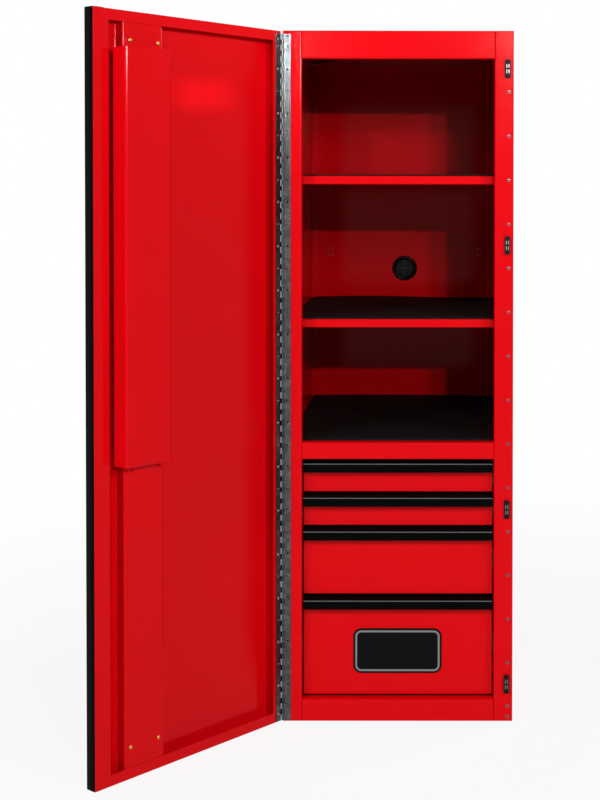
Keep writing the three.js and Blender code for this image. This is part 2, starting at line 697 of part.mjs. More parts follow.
const tabSpan = [lockX - TAB_WIDTH / 2, lockX + TAB_WIDTH / 2];
const tabDepth = [coverSeat, coverSeat + SHEET];
const rodX = lockX + CRANK * Math.cos(Math.PI / 8);
const rodDepth = [rodFace, rodFace + ROD[1]];
const rodSlot = block(
  [rodX - ROD[0] / 2 - SEAM, rodX + ROD[0] / 2 + SEAM],
  [rodDepth[0] - SEAM, rodDepth[1] + SEAM],
  [coverHead - 2 * SHEET, coverHead + SHEET],
);
const coverShell = cut(
  extrude(coverOutline(0, coverSeat), "z", [coverFoot, coverHead]),
  extrude(coverOutline(SHEET, coverSeat - SHEET), "z", [coverFoot + SHEET, coverHead - SHEET]),
);
addPiece(
  door,
  "lock_cover",
  cut(
    join(
      coverShell,
      block(tabSpan, tabDepth, [coverHead - SHEET, coverHead + TAB_LENGTH]),
      block(tabSpan, tabDepth, [coverFoot - TAB_LENGTH, coverFoot + SHEET]),
    ),
    rodSlot,
  ),
  RED_PAINT,
);

// Key lock: a barrel through the skin, a plug with a crank, and a rod that the crank lifts
// behind the top rail. The crank starts an eighth turn below level and ends as far above it.
const flangeSeat = outerFace - SEAM;
const plugBore = PLUG_R + SEAM;
const camFace = rodFace - SEAM;
const barrelEnd = camFace - CAM - SEAM;
const barrelSection = [
  [plugBore, flangeSeat - LOCK_FLANGE],
  [LOCK_FLANGE_R, flangeSeat - LOCK_FLANGE],
  [LOCK_FLANGE_R, flangeSeat],
  [BARREL_R, flangeSeat],
  [BARREL_R, barrelEnd],
  [plugBore, barrelEnd],
  [plugBore, flangeSeat - LOCK_FLANGE],
].map(([r, y]) => new THREE.Vector2(r, y));
addPiece(door, "lock_barrel", new THREE.LatheGeometry(barrelSection, 16).translate(lockX, 0, lockZ), CHROME);

const plugSection = [
  [0, flangeSeat - LOCK_FLANGE],
  [PLUG_R, flangeSeat - LOCK_FLANGE],
  [PLUG_R, camFace - CAM],
  [CRANK + CAM_RIM, camFace - CAM],
  [CRANK + CAM_RIM, camFace],
  [0, camFace],
].map(([r, y]) => new THREE.Vector2(r, y));
const crankPin = {
  x: lockX + CRANK * Math.cos(Math.PI / 4),
  z: lockZ - CRANK * Math.sin(Math.PI / 4),
};
addPiece(
  door,
  "lock_plug",
  cut(
    join(
      new THREE.LatheGeometry(plugSection, 16).translate(lockX, 0, lockZ),
      barAlongY(CRANK_PIN_R, [crankPin.x, crankPin.z], [camFace - CAM / 2, camFace + CRANK_PIN]),
    ),
    block(
      [lockX - KEY_SLOT[0] / 2, lockX + KEY_SLOT[0] / 2],
      [flangeSeat - LOCK_FLANGE - KEY_SLOT[2], flangeSeat - LOCK_FLANGE + KEY_SLOT[2]],
      [lockZ - KEY_SLOT[1] / 2, lockZ + KEY_SLOT[1] / 2],
    ),
  ),
  CHROME,
);

const eyeHalf = CRANK_PIN_R + PIN_PLAY;
const eyeSpan = [crankPin.x - eyeHalf, lockX + CRANK + eyeHalf];
const footSpan = [eyeSpan[0] - FOOT_RIM, eyeSpan[1] + FOOT_RIM];
const footRise = [crankPin.z - eyeHalf - FOOT_RIM, crankPin.z + eyeHalf + FOOT_RIM];
addPiece(
  door,
  "lock_rod",
  cut(
    join(
      block(footSpan, rodDepth, footRise),
      block([rodX - ROD[0] / 2, rodX + ROD[0] / 2], rodDepth, [footRise[1] - overlap, coverHead]),
    ),
    block(eyeSpan, [rodDepth[0] - SHEET, rodDepth[1] + SHEET], [crankPin.z - eyeHalf, crankPin.z + eyeHalf]),
  ),
  ZINC,
);

addPiece(door, "hinge_door_leaf", hingeLeaf(-1, 0, []), ZINC);

export default locker;
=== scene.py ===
import math

import bmesh
import bpy
from mathutils import Matrix, Vector


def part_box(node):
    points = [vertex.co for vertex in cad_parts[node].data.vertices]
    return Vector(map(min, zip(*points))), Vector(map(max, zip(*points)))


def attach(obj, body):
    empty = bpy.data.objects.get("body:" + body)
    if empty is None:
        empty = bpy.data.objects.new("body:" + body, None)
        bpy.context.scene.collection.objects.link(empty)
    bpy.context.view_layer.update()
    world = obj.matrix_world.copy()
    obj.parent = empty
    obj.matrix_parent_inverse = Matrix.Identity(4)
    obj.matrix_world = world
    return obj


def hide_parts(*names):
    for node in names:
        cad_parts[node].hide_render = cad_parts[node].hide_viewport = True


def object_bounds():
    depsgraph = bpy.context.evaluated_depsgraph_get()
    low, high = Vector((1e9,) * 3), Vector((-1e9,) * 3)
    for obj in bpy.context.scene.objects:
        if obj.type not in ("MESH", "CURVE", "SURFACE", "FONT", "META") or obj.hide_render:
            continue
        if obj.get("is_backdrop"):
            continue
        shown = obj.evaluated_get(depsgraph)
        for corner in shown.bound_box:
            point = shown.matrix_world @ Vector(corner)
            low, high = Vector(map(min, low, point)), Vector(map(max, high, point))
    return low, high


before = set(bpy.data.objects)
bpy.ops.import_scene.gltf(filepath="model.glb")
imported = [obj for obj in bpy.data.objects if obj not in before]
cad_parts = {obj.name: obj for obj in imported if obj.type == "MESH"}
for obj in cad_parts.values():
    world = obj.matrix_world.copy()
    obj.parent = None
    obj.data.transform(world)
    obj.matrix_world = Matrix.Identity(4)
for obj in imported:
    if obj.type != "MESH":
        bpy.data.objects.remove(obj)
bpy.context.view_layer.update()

# Cabinet shell: folded sheet steel panels, spot-welded, then coated all over with red gloss powder.
# The cured powder is smooth but not flat: a fine orange peel breaks up its reflections, and the coat
# rounds the folds and cut edges. A bead of sealer lies in the joint of top and back.
PEEL_MM = 3.0
TONE_MM = 220.0
HAZE_MM = 60.0
POWDER_RED = "#d9040f"
POWDER_RED_DEEP = "#d3040e"
SHELL_EDGE_MM = 0.25
EDGE_STEPS = 2
FOLD_DEG = 40
FLAT_DEG = 0.5
MERGE_GAP = 1e-5
BEAD = 0.0016
BEAD_SINK = 0.4 * BEAD
BEAD_ROUND = 0.0004
BEAD_END_GAP = 0.0020


def linear(code):
    """The linear colour of an sRGB hex value."""
    channels = [int(code[i:i + 2], 16) / 255 for i in (1, 3, 5)]
    return [c / 12.92 if c <= 0.04045 else ((c + 0.055) / 1.055) ** 2.4 for c in channels] + [1.0]


def new_material(name):
    material = bpy.data.materials.new(name)
    material.use_nodes = True
    tree = material.node_tree
    return material, tree, tree.nodes["Principled BSDF"]


def add_node(tree, kind, inputs, **settings):
    node = tree.nodes.new(kind)
    for name, value in settings.items():
        setattr(node, name, value)
    for socket, value in inputs.items():
        if isinstance(value, bpy.types.NodeSocket):
            tree.links.new(value, node.inputs[socket])
        else:
            node.inputs[socket].default_value = value
    return node


# The peel is drawn coarser than a real one, so that it shows. Two close reds keep large flats alive.
powder, tree, shader = new_material("red_powder_coat_steel")
place = add_node(tree, "ShaderNodeTexCoord", {}).outputs["Object"]
peel = add_node(
    tree, "ShaderNodeTexNoise", {"Vector": place, "Scale": 1000 / PEEL_MM, "Detail": 1.5}
)
tone = add_node(
    tree, "ShaderNodeTexNoise", {"Vector": place, "Scale": 1000 / TONE_MM, "Detail": 3.0}
)
haze = add_node(
    tree, "ShaderNodeTexNoise", {"Vector": place, "Scale": 1000 / HAZE_MM, "Detail": 4.0}
)
colour = add_node(
    tree, "ShaderNodeMix",
    {0: tone.outputs["Fac"], 6: linear(POWDER_RED_DEEP), 7: linear(POWDER_RED)},
    data_type="RGBA",
)
gloss = add_node(
    tree, "ShaderNodeMapRange",
    {"Value": haze.outputs["Fac"], "From Min": 0.3, "From Max": 0.7, "To Min": 0.10, "To Max": 0.14},
)
relief = add_node(
    tree, "ShaderNodeBump", {"Height": peel.outputs["Fac"], "Strength": 0.05, "Distance": 0.0003}
)
tree.links.new(colour.outputs[2], shader.inputs["Base Color"])
tree.links.new(gloss.outputs["Result"], shader.inputs["Roughness"])
tree.links.new(relief.outputs["Normal"], shader.inputs["Normal"])
shader.inputs["IOR"].default_value = 1.5
shader.inputs["Specular IOR Level"].default_value = 0.06


def dress(node_names, material, edge_mm, limit_deg=FOLD_DEG):
    """Gives CAD nodes their finish, and rounds every edge that is sharper than the limit."""
    for name in node_names:
        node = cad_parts[name]
        node.data.materials.clear()
        node.data.materials.append(material)
        weld = node.modifiers.new("merge", "WELD")
        weld.merge_threshold = MERGE_GAP
        flat = node.modifiers.new("flats", "DECIMATE")
        flat.decimate_type = "DISSOLVE"
        flat.angle_limit = math.radians(FLAT_DEG)
        edge = node.modifiers.new("edge", "BEVEL")
        edge.width = edge_mm / 1000
        edge.segments = EDGE_STEPS
        edge.limit_method = "ANGLE"
        edge.angle_limit = math.radians(limit_deg)
        edge.use_clamp_overlap = False


def add_piece(name, mesh, material, body, replaced=()):
    """Makes a bmesh a piece that rides on a body and may stand in for CAD nodes."""
    data = bpy.data.meshes.new(name)
    mesh.to_mesh(data)
    mesh.free()
    piece = bpy.data.objects.new(name, data)
    bpy.context.scene.collection.objects.link(piece)
    data.materials.append(material)
    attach(piece, body)
    if replaced:
        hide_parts(*replaced)
    return piece


def add_block(mesh, size, middle):
    made = bmesh.ops.create_cube(mesh, size=1)
    bmesh.ops.scale(mesh, verts=made["verts"], vec=size)
    bmesh.ops.translate(mesh, verts=made["verts"], vec=middle)


def round_off(mesh, geom, radius, steps, affect="EDGES"):
    bmesh.ops.bevel(
        mesh, geom=geom, offset=radius, offset_type="OFFSET", segments=steps,
        profile=0.5, affect=affect, material=-1,
    )


dress(
    ["left_side_panel", "right_side_panel", "back_panel", "top_panel", "deck_panel", "base_panel"],
    powder, SHELL_EDGE_MM,
)

seam_y, seam_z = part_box("back_panel")[0].y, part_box("back_panel")[1].z
bead_length = 2 * (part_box("top_panel")[1].x - BEAD_END_GAP)
bead = bmesh.new()
add_block(bead, (bead_length, BEAD, BEAD), (0, seam_y - BEAD_SINK, seam_z - BEAD_SINK))
round_off(bead, bead.edges[:], BEAD_ROUND, EDGE_STEPS)
add_piece("seam_bead", bead, powder, "cabinet")

# Shelves: two pans folded from the same sheet, each with a lip along its front. They are coated in
# the same red powder and set between the side walls.
SHELF_EDGE_MM = 0.3
dress(["upper_shelf", "lower_shelf"], powder, SHELF_EDGE_MM)

# Shelf mats: sheets of black rubber cut from a roll and laid loose on the shelves and the deck.
# They don't lie quite flat towards the back, and a fine pebbled top breaks up the little light that
# they return.
MAT_THICK = 0.003
MAT_GRID = (48, 64)
MAT_LIFT = 0.006
MAT_FLAT_SHARE = 0.3
WAVE_ACROSS = 3.1
WAVE_ALONG = 2.2
PEBBLE_MM = 2.2
DUST_MM = 90.0
RUBBER_BLACK = "#030505"
RUBBER_DUSTY = "#080b0b"

rubber, tree, shader = new_material("black_pebbled_rubber")
place = add_node(tree, "ShaderNodeTexCoord", {}).outputs["Object"]
pebble = add_node(tree, "ShaderNodeTexVoronoi", {"Vector": place, "Scale": 1000 / PEBBLE_MM})
dust = add_node(
    tree, "ShaderNodeTexNoise", {"Vector": place, "Scale": 1000 / DUST_MM, "Detail": 5.0}
)
colour = add_node(
    tree, "ShaderNodeMix",
    {0: dust.outputs["Fac"], 6: linear(RUBBER_BLACK), 7: linear(RUBBER_DUSTY)},
    data_type="RGBA",
)
relief = add_node(
    tree, "ShaderNodeBump",
    {"Height": pebble.outputs["Distance"], "Strength": 0.35, "Distance": 0.0006},
)
tree.links.new(colour.outputs[2], shader.inputs["Base Color"])
tree.links.new(relief.outputs["Normal"], shader.inputs["Normal"])
shader.inputs["Roughness"].default_value = 0.75
shader.inputs["Specular IOR Level"].default_value = 0.12


def lay_mat(name, node, wave):
    low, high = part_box(node)
    width, length = high.x - low.x, high.y - low.y
    middle = (low + high) / 2
    mesh = bmesh.new()
    bmesh.ops.create_grid(mesh, x_segments=MAT_GRID[0], y_segments=MAT_GRID[1], size=0.5)
    bmesh.ops.scale(mesh, verts=mesh.verts, vec=(width, length, 1))
    for vert in mesh.verts:
        across, along = vert.co.x / width, vert.co.y / length
        lift = max(0.0, math.sin(WAVE_ACROSS * across * wave + WAVE_ALONG * along + wave))
        vert.co.z = MAT_LIFT * lift * max(0.0, along + MAT_FLAT_SHARE) ** 2
    bmesh.ops.translate(mesh, verts=mesh.verts, vec=(middle.x, middle.y, low.z))
    bmesh.ops.solidify(mesh, geom=mesh.faces[:], thickness=-MAT_THICK)
    bmesh.ops.recalc_face_normals(mesh, faces=mesh.faces)
    mat = add_piece(name, mesh, rubber, "cabinet", [node])
    mat.data.shade_smooth()


lay_mat("upper_mat", "upper_shelf_mat", 1.0)
lay_mat("lower_mat", "lower_shelf_mat", 1.3)
lay_mat("floor_mat", "deck_mat", 0.8)

# Cable grommet: a moulded ring with a rounded crown, snapped into the back panel. Its membrane is
# slit crosswise into four flaps, which lie close to each other until a cable is pushed through.
GROMMET_BARREL = 0.0277
GROMMET_BORE = 0.0220
GROMMET_SEAT = 0.00020
CROWN_STEPS = 14
RING_STEPS = 64
SLIT = 0.0008
MEMBRANE = 0.0013
WEB_SHARE = 0.1
FLAP_STEPS = 12
MOULD_GRAIN_MM = 1.2
MOULDED_DEG = 35

# Moulded rubber is smooth and a little glossy, so the crown catches a line of light.
grommet_rubber, tree, shader = new_material("black_moulded_rubber")
place = add_node(tree, "ShaderNodeTexCoord", {}).outputs["Object"]
grain = add_node(
    tree, "ShaderNodeTexNoise", {"Vector": place, "Scale": 1000 / MOULD_GRAIN_MM, "Detail": 2.0}
)
relief = add_node(
    tree, "ShaderNodeBump", {"Height": grain.outputs["Fac"], "Strength": 0.1, "Distance": 0.0002}
)
tree.links.new(relief.outputs["Normal"], shader.inputs["Normal"])
shader.inputs["Base Color"].default_value = linear("#050707")
shader.inputs["Roughness"].default_value = 0.25
shader.inputs["Specular IOR Level"].default_value = 0.08

low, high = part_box("cable_grommet")
hub = (low + high) / 2
seat = seam_y - GROMMET_SEAT
crown, rim = seat - low.y, (high.x - low.x) / 2
ring = bmesh.new()
outline = []
for step in range(CROWN_STEPS + 1):
    turn = math.pi * step / CROWN_STEPS
    reach = (rim + GROMMET_BORE) / 2 - (rim - GROMMET_BORE) / 2 * math.cos(turn)
    outline.append((reach, seat - crown * math.sin(turn)))
outline += [(GROMMET_BARREL, seat), (GROMMET_BARREL, high.y), (GROMMET_BORE, high.y)]
verts = [ring.verts.new((hub.x + r, y, hub.z)) for r, y in outline]
edges = [ring.edges.new(pair) for pair in zip(verts, verts[1:] + verts[:1])]
bmesh.ops.spin(
    ring, geom=verts + edges, axis=(0, 1, 0), cent=hub,
    steps=RING_STEPS, angle=2 * math.pi, use_merge=True,
)
slit_turn = math.asin(SLIT / GROMMET_BORE)
flap_turn = math.pi / 2 - 2 * slit_turn
arc = [slit_turn + flap_turn * i / FLAP_STEPS for i in range(FLAP_STEPS + 1)]
quadrant = [(SLIT, SLIT)] + [(GROMMET_BORE * math.cos(a), GROMMET_BORE * math.sin(a)) for a in arc]
for quarter in range(4):
    flap = ring.faces.new([ring.verts.new((x, 0, z)) for x, z in quadrant])
    grown = bmesh.ops.extrude_face_region(ring, geom=[flap])
    raised = [item for item in grown["geom"] if isinstance(item, bmesh.types.BMVert)]
    bmesh.ops.translate(ring, verts=raised, vec=(0, MEMBRANE * (1 - WEB_SHARE), 0))
    swing = Matrix.Rotation(math.pi / 2 * quarter, 4, "Y")
    swing = Matrix.Translation((hub.x, seat, hub.z)) @ swing
    bmesh.ops.transform(ring, matrix=swing, verts=raised + flap.verts[:])
bmesh.ops.recalc_face_normals(ring, faces=ring.faces)
grommet = add_piece("grommet", ring, grommet_rubber, "cabinet", ["cable_grommet"])
grommet.data.shade_smooth()
grommet.data.set_sharp_from_angle(angle=math.radians(MOULDED_DEG))

# The matt web behind the slits is given a pale grey, a painted highlight, so the slits show as a faint
# grey cross.
slit_highlight_rubber, tree, shader = new_material("slit_highlight_rubber")
shader.inputs["Base Color"].default_value = linear("#3d4244")
shader.inputs["Roughness"].default_value = 0.6
shader.inputs["Specular IOR Level"].default_value = 0.2
web = bmesh.new()
bmesh.ops.create_cone(
    web, cap_ends=True, segments=RING_STEPS, radius1=GROMMET_BORE, radius2=GROMMET_BORE,
    depth=MEMBRANE * WEB_SHARE,
)
stand = Matrix.Translation((hub.x, seat + MEMBRANE * (1 - WEB_SHARE / 2), hub.z))
bmesh.ops.transform(web, matrix=stand @ Matrix.Rotation(math.pi / 2, 4, "X"), verts=web.verts)
add_piece("grommet_web", web, slit_highlight_rubber, "cabinet")

# Slide walls and telescopic slides: the walls are coated with the cabinet, and the slides are
# roll-formed from zinc-plated strip, which shows a faint cloudy spangle and streaks along the strip.
SPANGLE_MM = 9.0
STREAK_MM = 40.0
STREAK_STRETCH = (1.0, 1.0, 0.2)
ZINC_DARK = "#3c3f41"
ZINC_PALE = "#606466"
WALL_EDGE_MM = 0.45
SLIDE_EDGE_MM = 0.25
SQUARE_DEG = 60
dress(["left_slide_wall", "right_slide_wall"], powder, WALL_EDGE_MM)

zinc, tree, shader = new_material("zinc_plated_steel")
place = add_node(tree, "ShaderNodeTexCoord", {}).outputs["Object"]
stretched = add_node(tree, "ShaderNodeMapping", {"Vector": place, "Scale": STREAK_STRETCH})
cloud = add_node(
    tree, "ShaderNodeTexNoise",
    {
        "Vector": stretched.outputs["Vector"], "Scale": 1000 / STREAK_MM,
        "Detail": 5.0, "Distortion": 0.6,
    },
)
spangle = add_node(tree, "ShaderNodeTexVoronoi", {"Vector": place, "Scale": 1000 / SPANGLE_MM})
mottle = add_node(
    tree, "ShaderNodeMath",
    {0: cloud.outputs["Fac"], 1: spangle.outputs["Color"]},
    operation="MULTIPLY",
)
shade = add_node(
    tree, "ShaderNodeMapRange",
    {"Value": mottle.outputs["Value"], "From Min": 0.0, "From Max": 0.6},
)
colour = add_node(
    tree, "ShaderNodeMix",
    {0: shade.outputs["Result"], 6: linear(ZINC_DARK), 7: linear(ZINC_PALE)},
    data_type="RGBA",
)
gloss = add_node(
    tree, "ShaderNodeMapRange",
    {"Value": cloud.outputs["Fac"], "From Min": 0.3, "From Max": 0.7, "To Min": 0.18, "To Max": 0.30},
)
tree.links.new(colour.outputs[2], shader.inputs["Base Color"])
tree.links.new(gloss.outputs["Result"], shader.inputs["Roughness"])
shader.inputs["Metallic"].default_value = 1.0

members = [
    f"drawer_{drawer}_{side}_{member}_slide"
    for drawer in range(1, 5)
    for side in ("left", "right")
    for member in ("cabinet", "middle", "drawer")
]
dress(members, zinc, SLIDE_EDGE_MM, SQUARE_DEG)

# Knock-outs: four groups of four narrow slots, half punched into the back panel's sheet. The punch
# breaks the coat, so bare plated steel shows at the floor of each slot.
SLOT = (0.0012, 0.0070)
SLOT_PITCH = (0.0075, 0.0142)
SLOT_GROUPS = [(x, z) for x in (-0.1915, 0.1915) for z in (1.1175, 0.9640)]
SLOT_DEPTH = 0.0009
SLOT_FLOOR = 0.0003
SLOT_FLOOR_RISE = 0.0002


def add_four(mesh, size, pitch, middle):
    """Four like blocks, two by two round the middle in X and Z."""
    for column in (-0.5, 0.5):
        for row in (-0.5, 0.5):
            shift = Vector((column * pitch[0], 0, row * pitch[1]))
            add_block(mesh, size, Vector(middle) + shift)


slot_floors = bmesh.new()
for x, z in SLOT_GROUPS:
    middle = (x, seam_y + SLOT_DEPTH - SLOT_FLOOR_RISE, z)
    add_four(slot_floors, (SLOT[0], SLOT_FLOOR, SLOT[1]), SLOT_PITCH, middle)
add_piece("slot_floors", slot_floors, zinc, "cabinet")

# Drawers: sheet steel boxes in four heights, folded and welded, with a front that is folded over at
# its top. They are coated inside and out in the cabinet's red powder.
DRAWER_EDGE_MM = 0.45
dress([f"drawer_{drawer}_box" for drawer in range(1, 5)], powder, DRAWER_EDGE_MM)

# Drawer pulls: one black anodised extrusion across each front, capping its folded top. It falls to a
# ridge, which carries a painted highlight in paler grey, and its lip hangs over a finger channel. Die
# lines run along it, drawn coarser than real ones so that they show.
DIE_LINE_MM = 0.9
DIE_LINE_STRETCH = (0.004, 1.0, 1.0)
RUB_MM = 70.0
ANODISED_BLACK = "#040505"
RIDGE_HIGHLIGHT_GREY = "#63686b"
RIDGE_SLANT = (-0.38, -0.46)
PULL_CAP = 0.006
PULL_REACH = 0.022
PULL_DROP = 0.0057
PULL_HEIGHT = 0.0234
PULL_WALL = 0.0022
PULL_BACK = 0.020
PULL_FLAT = 0.0070
PULL_INNER_FLAT = 0.0075
PULL_INNER_DROP = PULL_DROP + PULL_WALL * 0.8
PULL_SHARP_DEG = 25
# Corner of the section, its radius and the steps round it.
PULL_ROUNDING = [
    (2, 0.0024, 8), (1, 0.006, 8), (3, 0.0009, 3), (4, 0.0009, 3), (6, 0.004, 4), (0, 0.0005, 2),
]

# Anodising leaves an even satin black; along the ridge a painted highlight turns it grey. The ridge is
# found by its slope: the product of the normal's Y and Z is -0.5 at 45 degrees.
anodised, tree, shader = new_material("black_anodised_aluminium")
place = add_node(tree, "ShaderNodeTexCoord", {}).outputs["Object"]
drawn_out = add_node(tree, "ShaderNodeMapping", {"Vector": place, "Scale": DIE_LINE_STRETCH})
die_lines = add_node(
    tree, "ShaderNodeTexNoise",
    {"Vector": drawn_out.outputs["Vector"], "Scale": 1000 / DIE_LINE_MM, "Detail": 2.0},
)
rub = add_node(tree, "ShaderNodeTexNoise", {"Vector": place, "Scale": 1000 / RUB_MM, "Detail": 4.0})
gloss = add_node(
    tree, "ShaderNodeMapRange",
    {"Value": rub.outputs["Fac"], "From Min": 0.3, "From Max": 0.7, "To Min": 0.22, "To Max": 0.30},
)
relief = add_node(
    tree, "ShaderNodeBump",
    {"Height": die_lines.outputs["Fac"], "Strength": 0.08, "Distance": 0.0002},
)
normal = add_node(tree, "ShaderNodeTexCoord", {}).outputs["Normal"]
normal = add_node(tree, "ShaderNodeSeparateXYZ", {"Vector": normal})
slant = add_node(
    tree, "ShaderNodeMath", {0: normal.outputs["Y"], 1: normal.outputs["Z"]}, operation="MULTIPLY"
)
# Painted highlight: where the slope marks the ridge, pale grey is mixed into the black.
painted_ridge_highlight = add_node(
    tree, "ShaderNodeMapRange",
    {"Value": slant.outputs["Value"], "From Min": RIDGE_SLANT[0], "From Max": RIDGE_SLANT[1]},
)
colour = add_node(
    tree, "ShaderNodeMix",
    {0: painted_ridge_highlight.outputs["Result"], 6: linear(ANODISED_BLACK), 7: linear(RIDGE_HIGHLIGHT_GREY)},
    data_type="RGBA",
)
tree.links.new(colour.outputs[2], shader.inputs["Base Color"])
tree.links.new(gloss.outputs["Result"], shader.inputs["Roughness"])
tree.links.new(relief.outputs["Normal"], shader.inputs["Normal"])
shader.inputs["Specular IOR Level"].default_value = 0.02


def extrude_faces(mesh, vec):
    grown = bmesh.ops.extrude_face_region(mesh, geom=mesh.faces[:])
    moved = [item for item in grown["geom"] if isinstance(item, bmesh.types.BMVert)]
    bmesh.ops.translate(mesh, verts=moved, vec=vec)
    bmesh.ops.recalc_face_normals(mesh, faces=mesh.faces)


def extrude_section(corners, run, rounding):
    """A bar along X whose section is the rounded outline of the corners in Y and Z."""
    mesh = bmesh.new()
    ring = [mesh.verts.new((run[0], y, z)) for y, z in corners]
    mesh.faces.new(ring)
    for index, radius, steps in rounding:
        round_off(mesh, [ring[index]], radius, steps, "VERTICES")
    extrude_faces(mesh, (run[1] - run[0], 0, 0))
    return mesh


for drawer in range(1, 5):
    low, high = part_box(f"drawer_{drawer}_pull")
    seat, top = high.y - PULL_CAP, high.z
    lip = seat - PULL_REACH
    section = [
        (high.y, top),
        (seat - PULL_FLAT, top),
        (lip, top - PULL_DROP),
        (lip, top - PULL_HEIGHT),
        (lip + PULL_WALL, top - PULL_HEIGHT),
        (lip + PULL_WALL, top - PULL_INNER_DROP),
        (seat - PULL_INNER_FLAT, top - PULL_WALL),
        (seat - PULL_WALL, top - PULL_WALL),
        (seat - PULL_WALL, top - PULL_BACK),
        (seat, top - PULL_BACK),
        (seat, top - PULL_WALL),
        (high.y, top - PULL_WALL),
    ]
    bar = extrude_section(section, (low.x, high.x), PULL_ROUNDING)
    pull = add_piece(
        f"pull_{drawer}", bar, anodised, f"drawer_{drawer}", [f"drawer_{drawer}_pull"]
    )
    pull.data.shade_smooth()
    pull.data.set_sharp_from_angle(angle=math.radians(PULL_SHARP_DEG))

# Drawer plate: a bare black enamelled plate with a plain grey line let in along its border. It is
# stuck to the lowest drawer's front.
PLATE_SIZE = (0.187, 0.095)
PLATE_MIDDLE = (-0.001, 0.1415)
PLATE_CORNER = 0.017
PLATE_CORNER_STEPS = 10
PLATE_BORDER = 0.0042
PLATE_THICK = 0.0018
PLATE_ROUND = 0.0008
PLATE_ROUND_STEPS = 3
GLUE_GAP = 0.0001
LINE_WIDTH = 0.0040
LINE_PROUD = 0.0003
LINE_SUNK = 0.0002
FLECK_MM = 0.8
BRUSHED_MM = 1.5

# Enamel would shine, but a fine fleck breaks the shine up, so the field looks an even soft black.
plate_black, tree, shader = new_material("black_enamelled_plate")
place = add_node(tree, "ShaderNodeTexCoord", {}).outputs["Object"]
fleck = add_node(
    tree, "ShaderNodeTexNoise", {"Vector": place, "Scale": 1000 / FLECK_MM, "Detail": 2.0}
)
relief = add_node(
    tree, "ShaderNodeBump", {"Height": fleck.outputs["Fac"], "Strength": 0.12, "Distance": 0.0002}
)
tree.links.new(relief.outputs["Normal"], shader.inputs["Normal"])
shader.inputs["Base Color"].default_value = linear("#060707")
shader.inputs["Roughness"].default_value = 0.42
shader.inputs["Specular IOR Level"].default_value = 0.06

# Satin metal, whose fine brushing varies the gloss along the line.
rim_grey, tree, shader = new_material("satin_grey_rim")
place = add_node(tree, "ShaderNodeTexCoord", {}).outputs["Object"]
brushed = add_node(
    tree, "ShaderNodeTexNoise", {"Vector": place, "Scale": 1000 / BRUSHED_MM, "Detail": 3.0}
)
gloss = add_node(
    tree, "ShaderNodeMapRange",
    {"Value": brushed.outputs["Fac"], "From Min": 0.3, "From Max": 0.7, "To Min": 0.35, "To Max": 0.5},
)
tree.links.new(gloss.outputs["Result"], shader.inputs["Roughness"])
shader.inputs["Base Color"].default_value = linear("#7a7d7f")
shader.inputs["Metallic"].default_value = 0.6


def rounded_plate(width, height, corner, middle, front, back):
    mesh = bmesh.new()
    bmesh.ops.create_grid(mesh, x_segments=1, y_segments=1, size=0.5)
    bmesh.ops.scale(mesh, verts=mesh.verts, vec=(width, height, 1))
    round_off(mesh, mesh.verts[:], corner, PLATE_CORNER_STEPS, "VERTICES")
    upright = Matrix.Rotation(math.pi / 2, 3, "X")
    bmesh.ops.rotate(mesh, verts=mesh.verts, cent=(0, 0, 0), matrix=upright)
    bmesh.ops.translate(mesh, verts=mesh.verts, vec=(middle[0], back, middle[1]))
    extrude_faces(mesh, (0, front - back, 0))
    return mesh


face_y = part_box("drawer_4_box")[0].y
field_y = face_y - PLATE_THICK
plate = rounded_plate(*PLATE_SIZE, PLATE_CORNER, PLATE_MIDDLE, field_y, face_y - GLUE_GAP)
front_face = min(plate.faces, key=lambda face: face.calc_center_median().y)
round_off(plate, front_face.edges[:], PLATE_ROUND, PLATE_ROUND_STEPS)
add_piece("plate_field", plate, plate_black, "drawer_4")

line = rounded_plate(
    PLATE_SIZE[0] - 2 * PLATE_BORDER, PLATE_SIZE[1] - 2 * PLATE_BORDER,
    PLATE_CORNER - PLATE_BORDER, PLATE_MIDDLE, field_y - LINE_PROUD, field_y + LINE_SUNK,
)
ends = [face for face in line.faces if len(face.verts) > 4]
bmesh.ops.inset_individual(line, faces=ends, thickness=LINE_WIDTH)
loops = [face.edges[:] for face in ends]
bmesh.ops.delete(line, geom=ends, context="FACES_ONLY")
bmesh.ops.bridge_loops(line, edges=loops[0] + loops[1])
bmesh.ops.recalc_face_normals(line, faces=line.faces)
add_piece("plate_line", line, rim_grey, "drawer_4")

# Magnetic catches: black moulded housings fixed to the right stile, each with two pairs of bright
# steel pole pieces that meet the closed door.
POLE = (0.0018, 0.0080)
POLE_PITCH = (0.0044, 0.0115)
POLE_THICK = 0.0006
POLE_ROUND = 0.00018
NYLON_GRAIN_MM = 0.7
POLE_WEAR_MM = 2.0
CATCH_EDGE_MM = 0.5

# The mould leaves a fine grain on the nylon, which dulls it.
housing, tree, shader = new_material("black_moulded_nylon")
place = add_node(tree, "ShaderNodeTexCoord", {}).outputs["Object"]
grain = add_node(
    tree, "ShaderNodeTexNoise", {"Vector": place, "Scale": 1000 / NYLON_GRAIN_MM, "Detail": 2.0}
)
relief = add_node(
    tree, "ShaderNodeBump", {"Height": grain.outputs["Fac"], "Strength": 0.1, "Distance": 0.0002}
)
tree.links.new(relief.outputs["Normal"], shader.inputs["Normal"])
shader.inputs["Base Color"].default_value = linear("#080a0a")
shader.inputs["Roughness"].default_value = 0.45
shader.inputs["Specular IOR Level"].default_value = 0.1
dress([f"catch_{i}" for i in range(1, 5)], housing, CATCH_EDGE_MM, SQUARE_DEG)

